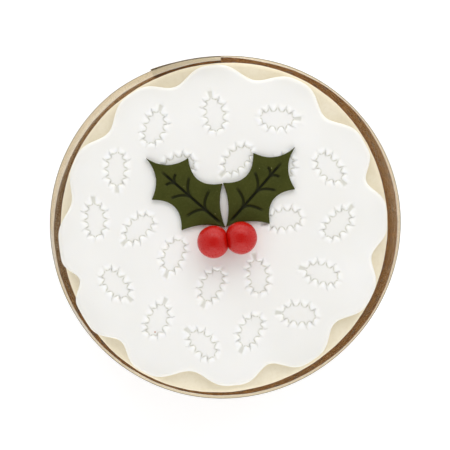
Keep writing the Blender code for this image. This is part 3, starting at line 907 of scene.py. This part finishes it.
def make_leaf(name, x, y, direction):
    outline, room = leaf_outline()
    paths = vein_paths()
    count = len(outline)
    inset_rings = [draw_in(outline, room, d) for d in (LEAF_EDGE_RADIUS, 1.15, 1.7)]
    points = [tuple(p) for p in inset_rings[0]]
    lines = [(i, (i + 1) % count) for i in range(count)]
    extra = [p for ring in inset_rings[1:] for p, r in zip(ring, room) if r > 0.95]
    for _, path in paths:
        along = np.gradient(path, axis=0)
        along /= np.linalg.norm(along, axis=1)[:, None]
        side = np.stack([-along[:, 1], along[:, 0]], axis=1)
        for offset in VEIN_OFFSETS:
            for sign in ((1,) if offset == 0 else (1, -1)):
                extra += list(path + side * offset * sign)
    across = np.arange(-18, 18, LEAF_GRID)
    along = np.arange(0, LEAF_LENGTH, LEAF_GRID * 0.87)
    grid = np.array([(a, c + (LEAF_GRID / 2 if row % 2 else 0))
                     for row, a in enumerate(along) for c in across])
    near = np.full(len(grid), np.inf)
    for _, path in paths:
        near = np.minimum(near, segment_distance(grid, path[:-1], path[1:])[0])
    grid = grid[near > VEIN_OFFSETS[-1] + 0.25]
    candidates = np.array([tuple(p) for p in extra] + [tuple(p) for p in grid])
    ring = inset_rings[0]
    clear = segment_distance(candidates, ring, np.roll(ring, -1, axis=0))[0] > 0.16
    candidates = candidates[within(candidates, ring) & clear]
    points += [tuple(p) for p in candidates]
    flat, _, triangles, sources, _, _ = geometry.delaunay_2d_cdt(
        [Vector(p) for p in points], lines, [], 1, 0.02, True)
    flat = np.array([tuple(v) for v in flat])
    triangles = np.array(triangles)
    triangles = triangles[within(flat[triangles].mean(axis=1), ring)]
    where = {o: i for i, origins in enumerate(sources) for o in origins}
    heights, veins = leaf_height(flat, outline, paths)
    verts = [(px, py, LEAF_TOP + h) for (px, py), h in zip(flat, heights)]
    faces = [tuple(t) for t in triangles]
    edge_height, _ = leaf_height(ring, outline, paths)
    # Each step of the edge is (inset, drop, share of the upper face's relief).
    profile = []
    for i in range(1, LEAF_EDGE_STEPS + 1):
        turn = math.pi / 2 * i / LEAF_EDGE_STEPS
        profile.append((LEAF_EDGE_RADIUS * (1 - math.sin(turn)),
                        LEAF_EDGE_RADIUS * (math.cos(turn) - 1), 1 - i / LEAF_EDGE_STEPS))
    profile.append((0.0, -(LEAF_TOP - ICING_TOP) / 2, 0.0))
    profile.append((0.0, ICING_TOP - LEAF_TOP + 0.15, 0.0))
    profile.append((0.2, ICING_TOP - LEAF_TOP, 0.0))
    before = [where[i] for i in range(count)]
    for inset, drop, share in profile:
        now = list(range(len(verts), len(verts) + count))
        for (px, py), own in zip(draw_in(outline, room, inset), edge_height):
            lift = own * max(share, 0.35) if drop > -1 else 0
            verts.append((px, py, LEAF_TOP + drop + lift))
        for i in range(count):
            j = (i + 1) % count
            faces.append((before[j], before[i], now[i], now[j]))
        before = now
    faces.append(tuple(before))
    turn = math.radians(direction)
    c, s = math.cos(turn), math.sin(turn)
    verts = np.array(verts)
    placed = np.column_stack([verts[:, 0] * c - verts[:, 1] * s + x,
                              verts[:, 0] * s + verts[:, 1] * c + y, verts[:, 2]])
    top = smooth(placed[:, 2], ICING_TOP + 0.5, LEAF_TOP - 0.6)
    placed[:, 2] += 0.10 * noise_at(placed * (1, 1, 0), 7, 4) * top
    leaf = make_piece(name + "_paste", placed, faces, leaf_material(name[11:]),
                      name)
    # Painted shade in the veins, deepest where the veins are deepest.
    dark = np.zeros(len(placed))
    dark[:len(veins)] = VEIN_SHADE_STRENGTH * veins ** 1.5
    add_attribute(leaf, "vein", dark)


# ---- berries --------------------------------------------------------------------------

CONTACT_ROUNDING = 0.06


def make_berries():
    material = berry_material()
    (_, lx, ly, left_half), (_, rx, ry, right_half) = BERRIES
    towards = np.array((rx - lx, ry - ly))
    contact = np.array((lx, ly)) + towards * left_half[0] / (left_half[0] + right_half[0])
    towards /= np.linalg.norm(towards)
    for sign, (name, cx, cy, half) in zip((1, -1), BERRIES):
        body = bmesh.new()
        bmesh.ops.create_uvsphere(body, u_segments=96, v_segments=64, radius=1)
        lift = BERRY_BASE + half[2] - BERRY_FLAT
        for vert in body.verts:
            lump = noise.noise(vert.co * 1.6 + Vector((cx, cy, 0)))
            vert.co *= 1 + 0.012 * lump + 0.004 * noise.noise(vert.co * 6)
            x, y, z = (vert.co[i] * half[i] + (cx, cy, lift)[i] for i in range(3))
            over = sign * ((x - contact[0]) * towards[0] + (y - contact[1]) * towards[1])
            if over > -CONTACT_ROUNDING:
                past = over + CONTACT_ROUNDING
                shift = past - CONTACT_ROUNDING * (1 - math.exp(-past / CONTACT_ROUNDING))
                x -= sign * towards[0] * shift
                y -= sign * towards[1] * shift
            vert.co = Vector((x, y, max(z, ICING_TOP)))
        verts = [tuple(v.co) for v in body.verts]
        faces = [tuple(v.index for v in f.verts) for f in body.faces]
        body.free()
        make_piece(name + "_paste", verts, faces, material, name)


# ---- collar ---------------------------------------------------------------------------

COLLAR_STEPS = 560
COLLAR_ROWS = 30
# The film is thinner here than in its solid, and its lapped ends lie closer together.
FILM_THICKNESS = 0.25
COLLAR_TOP_SHIFTS = (0.18, 0.12)
COLLAR_FLARE = 0.4
# It also curls on one side and hugs the marzipan on another, each side given by its
# middle and half width in degrees.
CURL_SIDE = (350, 95)
CURL_SHARE = 0.6
HUG_SIDE = (132, 62)
HUG_LEVEL = 58.0
HUG_REACH = 13.0
HUG_GAP = 0.25


def collar_radius(travel, z):
    """Radius of the film's middle, after some degrees of travel from its inner end."""
    degrees = COLLAR_START + travel
    angle = math.radians(1) * degrees
    gap = COLLAR_GAP + waves_at(angle, COLLAR_GAP_WAVES)
    low = cake_radius(angle) + gap
    top = COLLAR_TOP_RADIUS + waves_at(angle, COLLAR_TOP_WAVES)
    place, half_width, depth = COLLAR_DIP
    top = top - depth * bowl(degrees, place, half_width)
    inner_end = smooth(travel, COLLAR_LAP + COLLAR_LAP_EASE, COLLAR_LAP)
    outer_end = smooth(travel, 360 - COLLAR_LAP_EASE, 360)
    low = low + COLLAR_LOW_SHIFTS[1] * outer_end - COLLAR_LOW_SHIFTS[0] * inner_end
    top = top + COLLAR_TOP_SHIFTS[1] * outer_end - COLLAR_TOP_SHIFTS[0] * inner_end
    whole = 360 + COLLAR_LAP
    top = top + COLLAR_FLARE * smooth(travel, whole - COLLAR_FLARE_SPAN, whole)
    lean = np.maximum(0, (z - COLLAR_LEAN_FROM) / (COLLAR_HEIGHT - COLLAR_LEAN_FROM))
    # Where it curls, most of its lean is near its top.
    lean = lean ** (1 + CURL_SHARE * bowl(degrees, *CURL_SIDE))
    # Where it hugs the marzipan's edge, it comes close before it leans out.
    hug = bowl(degrees, *HUG_SIDE) * smooth(abs(z - HUG_LEVEL), HUG_REACH, 0)
    return low + (top - low) * lean - hug * (1 - outer_end) * (gap - HUG_GAP)


def make_collar():
    levels = np.linspace(0, COLLAR_HEIGHT, COLLAR_ROWS + 1)
    rows = []
    for step in range(COLLAR_STEPS + 1):
        travel = (360 + COLLAR_LAP) * step / COLLAR_STEPS
        angle = math.radians(COLLAR_START + travel)
        c, s = math.cos(angle), math.sin(angle)
        row = []
        for side, heights in ((-0.5, levels), (0.5, levels[::-1])):
            for z in heights:
                radius = float(collar_radius(travel, z)) + side * FILM_THICKNESS
                row.append((radius * c, radius * s, z))
        rows.append(row)
    verts, faces = skin_rings(rows)
    film = make_piece("collar_film", verts, faces, film_material(), "collar",
                      sharp=50)
    film.data.materials.append(film_edge_material())
    for face in film.data.polygons:
        if face.center.z > (COLLAR_HEIGHT - 0.01) * MM:
            face.material_index = 1


# ---- studio ---------------------------------------------------------------------------

def make_floor():
    half = 4.0
    mesh = bpy.data.meshes.new("floor")
    mesh.from_pydata([(-half, -half, 0), (half, -half, 0), (half, half, 0), (-half, half, 0)],
                     [], [(0, 1, 2, 3)])
    mesh.materials.append(floor_material())
    floor = bpy.data.objects.new("floor", mesh)
    floor.location.z = CAD_BOX[0][2]
    bpy.context.scene.collection.objects.link(floor)


CAMERA_PLACE = (0.00063, 0.00092, 0.621)
CAMERA_LENS = 92.2
CAMERA_SENSOR = 36
# How much the studio's sides shine.
WALL_LIGHT = 2.8
SIDE_LIGHT = 1.2
DOME_LIGHT = 0.92
CEILING_LIGHT = 0.34
# Where the light changes, as the height of a direction's tip on a sphere of radius 1.
WALL_REACH = (0, 0.42)
CEILING_REACH = (0.7, 0.95)
# Each soft box: (name, place, width, height, power), in metres and watts.
SOFT_BOXES = (
    ("front", (0.0, -1.0, 0.85), 1.2, 0.5, 2.2),
    ("back", (0.0, 1.0, 0.85), 1.2, 0.5, 4.0),
    ("key", (0.8, 0.8, 0.9), 0.6, 0.5, 1.5),
)


def soft_box(name, place, width, height, power):
    light = bpy.data.lights.new(name, "AREA")
    light.shape = "RECTANGLE"
    light.size = width
    light.size_y = height
    light.energy = power
    lamp = bpy.data.objects.new(name, light)
    lamp.location = place
    aim = Vector((0, 0, ICING_TOP * MM)) - Vector(place)
    lamp.rotation_euler = aim.to_track_quat("-Z", "Y").to_euler()
    bpy.context.scene.collection.objects.link(lamp)


def make_studio():
    scene = bpy.context.scene
    scene.view_settings.view_transform = "Standard"
    world = bpy.data.worlds.new("studio")
    world.use_nodes = True
    # The front and back walls shine most and the middle of the ceiling least.
    tree = world.node_tree
    background = tree.nodes["Background"]
    background.inputs["Color"].default_value = (1, 1, 1, 1)
    direction = tree.nodes.new("ShaderNodeTexCoord").outputs["Generated"]
    height = tree.nodes.new("ShaderNodeSeparateXYZ")
    tree.links.new(direction, height.inputs[0])
    aside = tree.nodes.new("ShaderNodeMath")
    aside.operation = "ABSOLUTE"
    tree.links.new(height.outputs["X"], aside.inputs[0])
    before = None
    for source, values in ((aside.outputs[0], (0.3, 0.9, WALL_LIGHT, SIDE_LIGHT)),
                           (height.outputs["Z"], (*WALL_REACH, WALL_LIGHT, DOME_LIGHT)),
                           (height.outputs["Z"], (*CEILING_REACH, DOME_LIGHT, CEILING_LIGHT))):
        shine = tree.nodes.new("ShaderNodeMapRange")
        shine.interpolation_type = "SMOOTHSTEP"
        for name, value in zip(("From Min", "From Max", "To Min", "To Max"), values):
            shine.inputs[name].default_value = value
        tree.links.new(source, shine.inputs["Value"])
        if before:
            tree.links.new(before, shine.inputs["To Min"])
        before = shine.outputs["Result"]
    tree.links.new(before, background.inputs["Strength"])
    scene.world = world
    for box in SOFT_BOXES:
        soft_box(*box)
    camera_data = bpy.data.cameras.new("camera")
    camera_data.lens = CAMERA_LENS
    camera_data.sensor_width = CAMERA_SENSOR
    camera = bpy.data.objects.new("camera", camera_data)
    camera.location = CAMERA_PLACE
    scene.collection.objects.link(camera)
    scene.camera = camera


make_fruit_cake()
make_marzipan()
make_icing()
for leaf in LEAVES:
    make_leaf(*leaf)
make_berries()
make_collar()
make_floor()
make_studio()
